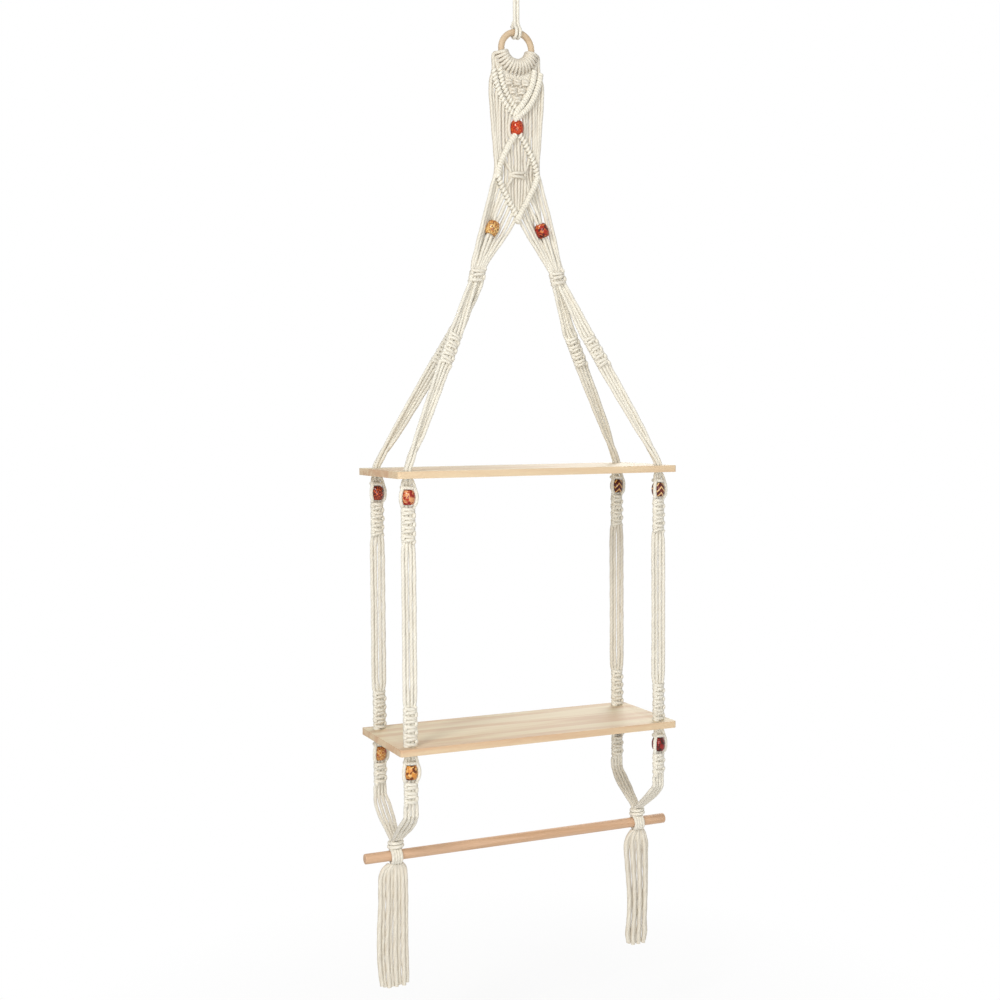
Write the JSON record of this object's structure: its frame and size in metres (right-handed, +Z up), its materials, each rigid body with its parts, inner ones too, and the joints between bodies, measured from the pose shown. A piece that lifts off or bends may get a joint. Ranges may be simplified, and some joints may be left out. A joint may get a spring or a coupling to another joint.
{
  "type": "hanging rope shelf",
  "caption": "Macrame wall shelf: wooden boards hung from a ring by knotted cotton cords with beads, and a dowel with cord tassels below.",
  "frame": {"origin": "crown of the hanging eye, on the middle line of its cord", "axes": "+Z up, +X along the boards to the right, -Y to the front"},
  "size_m": [0.448, 0.15, 1.3272],
  "materials": {
    "cotton": "matte twisted natural cotton cord",
    "pine": "sanded pine, unfinished",
    "beech": "smooth turned beech",
    "ring_wood": "smooth oiled wood",
    "bead_red": "painted wood with a small pattern, satin",
    "bead_dark": "painted wood with a small pattern, satin",
    "bead_gold": "painted wood with a small pattern, satin"
  },
  "bodies": {
    "hanging": {"hanging_cord": "cotton"},
    "ring": {"wooden_ring": "ring_wood"},
    "panel": {"macrame_panel": "cotton", "fan_left": "cotton", "fan_right": "cotton"},
    "upper_tier": {"top_board": "pine", "leg_front_left": "cotton", "leg_back_left": "cotton", "leg_front_right": "cotton", "leg_back_right": "cotton"},
    "post_front_left": {"post_front_left": "cotton"},
    "post_back_left": {"post_back_left": "cotton"},
    "post_front_right": {"post_front_right": "cotton"},
    "post_back_right": {"post_back_right": "cotton"},
    "lower_tier": {"lower_board": "pine", "lower_cords_front_left": "cotton", "lower_cords_back_left": "cotton", "lower_cords_front_right": "cotton", "lower_cords_back_right": "cotton"},
    "sling_left": {"sling_left": "cotton"},
    "sling_right": {"sling_right": "cotton"},
    "rod_knots": {"rod_knot_left": "cotton", "rod_knot_right": "cotton"},
    "rod": {"dowel": "beech"},
    "tassel_left": {"tassel_left": "cotton"},
    "tassel_right": {"tassel_right": "cotton"},
    "bead_centre": {"bead_centre": "bead_red"},
    "bead_fan_left": {"bead_fan_left": "bead_gold"},
    "bead_fan_right": {"bead_fan_right": "bead_dark"},
    "bead_upper_front_left": {"bead_upper_front_left": "bead_dark"},
    "bead_upper_back_left": {"bead_upper_back_left": "bead_dark"},
    "bead_upper_front_right": {"bead_upper_front_right": "bead_dark"},
    "bead_upper_back_right": {"bead_upper_back_right": "bead_dark"},
    "bead_lower_front_left": {"bead_lower_front_left": "bead_gold"},
    "bead_lower_back_left": {"bead_lower_back_left": "bead_gold"},
    "bead_lower_front_right": {"bead_lower_front_right": "bead_dark"},
    "bead_lower_back_right": {"bead_lower_back_right": "bead_dark"}
  },
  "joints": [
    {"name": "ring_tilt", "type": "hinge", "parent": "hanging", "child": "ring", "pos_m": [0, 0, -0.07325], "axis": [1, 0, 0], "range_deg": [-20, 20]},
    {"name": "shelf_rock", "type": "hinge", "parent": "ring", "child": "panel", "pos_m": [0, 0, -0.095], "axis": [0, 1, 0], "range_deg": [-10, 10]},
    {"name": "tier_swing", "type": "hinge", "parent": "panel", "child": "upper_tier", "pos_m": [0, 0, -0.40783], "axis": [1, 0, 0], "range_deg": [-15, 15]},
    {"name": "bay_sway", "type": "hinge", "parent": "upper_tier", "child": "post_front_left", "pos_m": [-0.181, -0.0585, -0.74091], "axis": [0, 1, 0], "range_deg": [-12, 12]},
    {"name": "bay_sway_back_left", "type": "hinge", "parent": "upper_tier", "child": "post_back_left", "pos_m": [-0.181, 0.0585, -0.74091], "axis": [0, 1, 0], "range_deg": [-12, 12]},
    {"name": "bay_sway_front_right", "type": "hinge", "parent": "upper_tier", "child": "post_front_right", "pos_m": [0.181, -0.0585, -0.74091], "axis": [0, 1, 0], "range_deg": [-12, 12]},
    {"name": "bay_sway_back_right", "type": "hinge", "parent": "upper_tier", "child": "post_back_right", "pos_m": [0.181, 0.0585, -0.74091], "axis": [0, 1, 0], "range_deg": [-12, 12]},
    {"name": "lower_tier_level", "type": "hinge", "parent": "post_front_left", "child": "lower_tier", "pos_m": [-0.181, -0.0585, -0.93637], "axis": [0, 1, 0], "range_deg": [-12, 12]},
    {"name": "rod_sway", "type": "hinge", "parent": "lower_tier", "child": "sling_left", "pos_m": [-0.181, 0, -1.08421], "axis": [0, 1, 0], "range_deg": [-15, 15]},
    {"name": "rod_sway_right", "type": "hinge", "parent": "lower_tier", "child": "sling_right", "pos_m": [0.181, 0, -1.08421], "axis": [0, 1, 0], "range_deg": [-15, 15]},
    {"name": "rod_level", "type": "hinge", "parent": "sling_left", "child": "rod_knots", "pos_m": [-0.181, 0, -1.13027], "axis": [0, 1, 0], "range_deg": [-15, 15]},
    {"name": "dowel_turn", "type": "hinge", "parent": "rod_knots", "child": "rod", "pos_m": [0, 0, -1.15], "axis": [1, 0, 0], "continuous": true},
    {"name": "tassel_swing_left", "type": "hinge", "parent": "rod_knots", "child": "tassel_left", "pos_m": [-0.181, 0, -1.16973], "axis": [1, 0, 0], "range_deg": [-25, 25]},
    {"name": "tassel_swing_right", "type": "hinge", "parent": "rod_knots", "child": "tassel_right", "pos_m": [0.181, 0, -1.16973], "axis": [1, 0, 0], "range_deg": [-25, 25]},
    {"name": "bead_centre_turn", "type": "hinge", "parent": "panel", "child": "bead_centre", "pos_m": [0, 0, -0.1975], "axis": [0, 0, 1], "continuous": true},
    {"name": "bead_fan_left_turn", "type": "hinge", "parent": "panel", "child": "bead_fan_left", "pos_m": [-0.03619, 0, -0.3303], "axis": [-0.3972, 0, -0.9177], "continuous": true},
    {"name": "bead_fan_right_turn", "type": "hinge", "parent": "panel", "child": "bead_fan_right", "pos_m": [0.03619, 0, -0.3303], "axis": [0.3972, 0, -0.9177], "continuous": true},
    {"name": "bead_upper_front_left_turn", "type": "hinge", "parent": "upper_tier", "child": "bead_upper_front_left", "pos_m": [-0.181, -0.0585, -0.678], "axis": [0, 0, 1], "continuous": true},
    {"name": "bead_upper_back_left_turn", "type": "hinge", "parent": "upper_tier", "child": "bead_upper_back_left", "pos_m": [-0.181, 0.0585, -0.678], "axis": [0, 0, 1], "continuous": true},
    {"name": "bead_upper_front_right_turn", "type": "hinge", "parent": "upper_tier", "child": "bead_upper_front_right", "pos_m": [0.181, -0.0585, -0.678], "axis": [0, 0, 1], "continuous": true},
    {"name": "bead_upper_back_right_turn", "type": "hinge", "parent": "upper_tier", "child": "bead_upper_back_right", "pos_m": [0.181, 0.0585, -0.678], "axis": [0, 0, 1], "continuous": true},
    {"name": "bead_lower_front_left_turn", "type": "hinge", "parent": "lower_tier", "child": "bead_lower_front_left", "pos_m": [-0.181, -0.0585, -1.027], "axis": [0, 0, 1], "continuous": true},
    {"name": "bead_lower_back_left_turn", "type": "hinge", "parent": "lower_tier", "child": "bead_lower_back_left", "pos_m": [-0.181, 0.0585, -1.027], "axis": [0, 0, 1], "continuous": true},
    {"name": "bead_lower_front_right_turn", "type": "hinge", "parent": "lower_tier", "child": "bead_lower_front_right", "pos_m": [0.181, -0.0585, -1.027], "axis": [0, 0, 1], "continuous": true},
    {"name": "bead_lower_back_right_turn", "type": "hinge", "parent": "lower_tier", "child": "bead_lower_back_right", "pos_m": [0.181, 0.0585, -1.027], "axis": [0, 0, 1], "continuous": true}
  ],
  "couplings": [
    {"joint": "bay_sway_back_left", "follows": "bay_sway", "ratio": 1},
    {"joint": "bay_sway_front_right", "follows": "bay_sway", "ratio": 1},
    {"joint": "bay_sway_back_right", "follows": "bay_sway", "ratio": 1},
    {"joint": "lower_tier_level", "follows": "bay_sway", "ratio": -1},
    {"joint": "rod_sway_right", "follows": "rod_sway", "ratio": 1},
    {"joint": "rod_level", "follows": "rod_sway", "ratio": -1}
  ]
}
